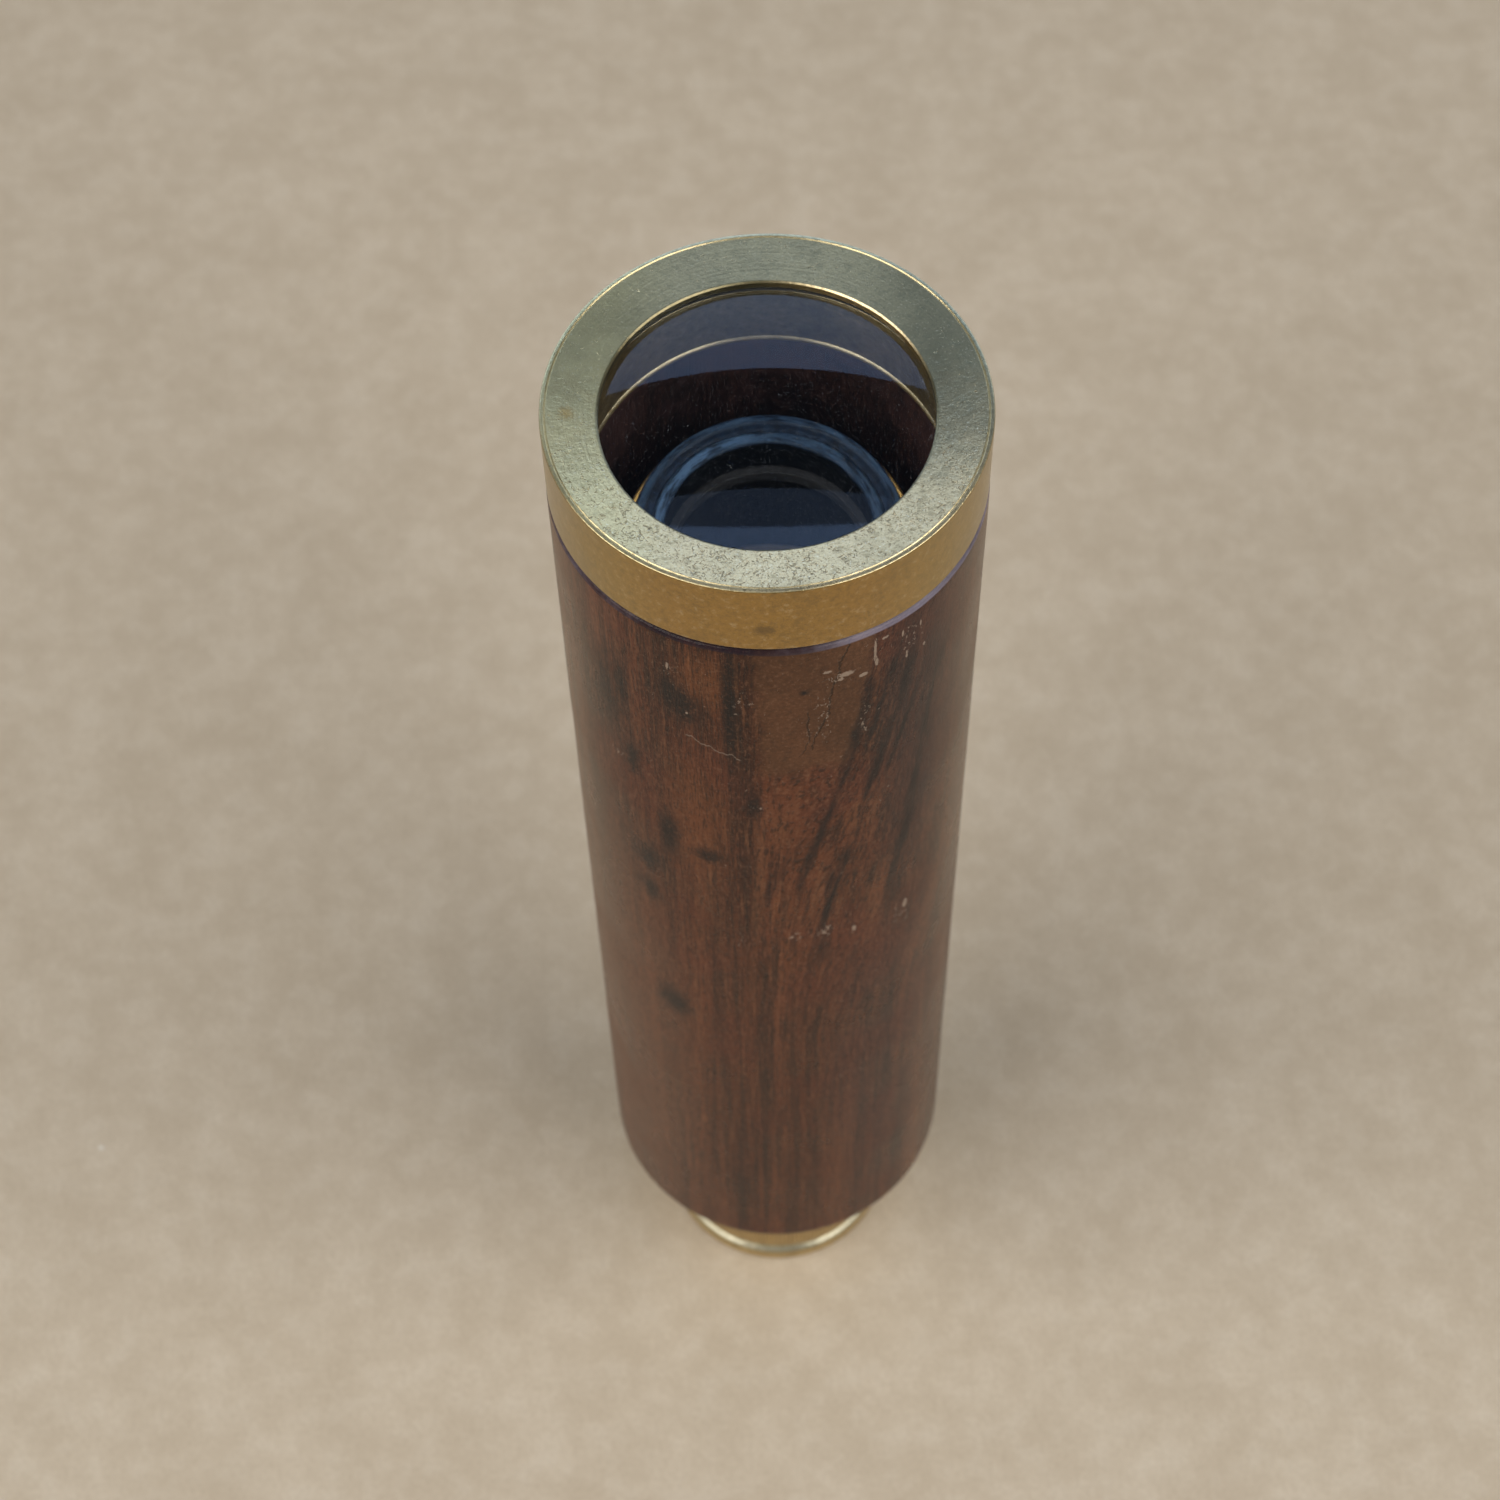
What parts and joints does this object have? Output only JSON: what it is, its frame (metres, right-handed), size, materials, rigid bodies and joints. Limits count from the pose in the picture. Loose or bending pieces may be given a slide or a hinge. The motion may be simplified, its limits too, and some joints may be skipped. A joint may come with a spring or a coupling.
{
  "type": "kaleidoscope",
  "caption": "Wooden telescopic kaleidoscope with a screw-on brass lens cap, a sliding and turning mirror tube and a knurled brass eyepiece.",
  "frame": {"origin": "centre of the flat foot of the eyepiece, on the surface it stands on", "axes": "+Z along the barrel, from the eyepiece to the lens"},
  "size_m": [0.0446, 0.0446, 0.1785],
  "materials": {
    "rosewood": "varnished dark rosewood with near-black streaks, satin",
    "polished_brass": "brushed, slightly pitted, greenish gold patina",
    "aged_brass": "satin, warm mottled patina",
    "clear_glass": "polished, a little dusty",
    "black_ring": "blue-black, semi-gloss, rough at the lip",
    "black_card": "matt black",
    "mirror_glass": "polished",
    "guide_leather": "matt, worn smooth",
    "liner_felt": "short pile felt",
    "packing_card": "plain grey-brown card"
  },
  "bodies": {
    "barrel": {"wood_barrel": "rosewood", "objective_ferrule": "aged_brass", "lower_bush": "aged_brass", "bush_liner": "liner_felt", "bush_screw_1": "aged_brass", "bush_screw_2": "aged_brass", "bush_screw_3": "aged_brass"},
    "lens": {"objective_lens": "clear_glass", "lens_washer": "black_card"},
    "cap": {"objective_cap": "polished_brass", "lens_retainer": "aged_brass"},
    "guide": {"guide_ring": "guide_leather"},
    "draw": {"draw_tube": "polished_brass", "guide_collar_upper": "aged_brass", "guide_collar_lower": "aged_brass", "front_stop_ring": "black_ring", "inner_stop": "black_ring", "tube_liner": "black_card", "mirror_1": "mirror_glass", "mirror_2": "mirror_glass", "mirror_3": "mirror_glass", "mirror_packing_1": "packing_card", "mirror_packing_2": "packing_card", "mirror_packing_3": "packing_card", "mirror_end_ring": "black_ring", "eyepiece_collar": "aged_brass", "eyepiece_cap": "polished_brass", "eye_glass": "clear_glass", "eye_stop": "black_ring"}
  },
  "joints": [
    {"name": "lens_rise", "type": "slide", "parent": "barrel", "child": "lens", "axis": [0, 0, 1], "range_m": [0, 0.0043]},
    {"name": "cap_turn", "type": "hinge", "parent": "lens", "child": "cap", "pos_m": [0, 0, 0.174], "axis": [0, 0, 1], "range_deg": [0, 3060]},
    {"name": "draw_slide", "type": "slide", "parent": "guide", "child": "barrel", "axis": [0, 0, 1], "range_m": [0, 0.075]},
    {"name": "draw_turn", "type": "hinge", "parent": "draw", "child": "guide", "pos_m": [0, 0, 0.117], "axis": [0, 0, 1], "continuous": true}
  ],
  "couplings": [
    {"joint": "lens_rise", "follows": "cap_turn", "m_per_rad": 0.000079577}
  ]
}
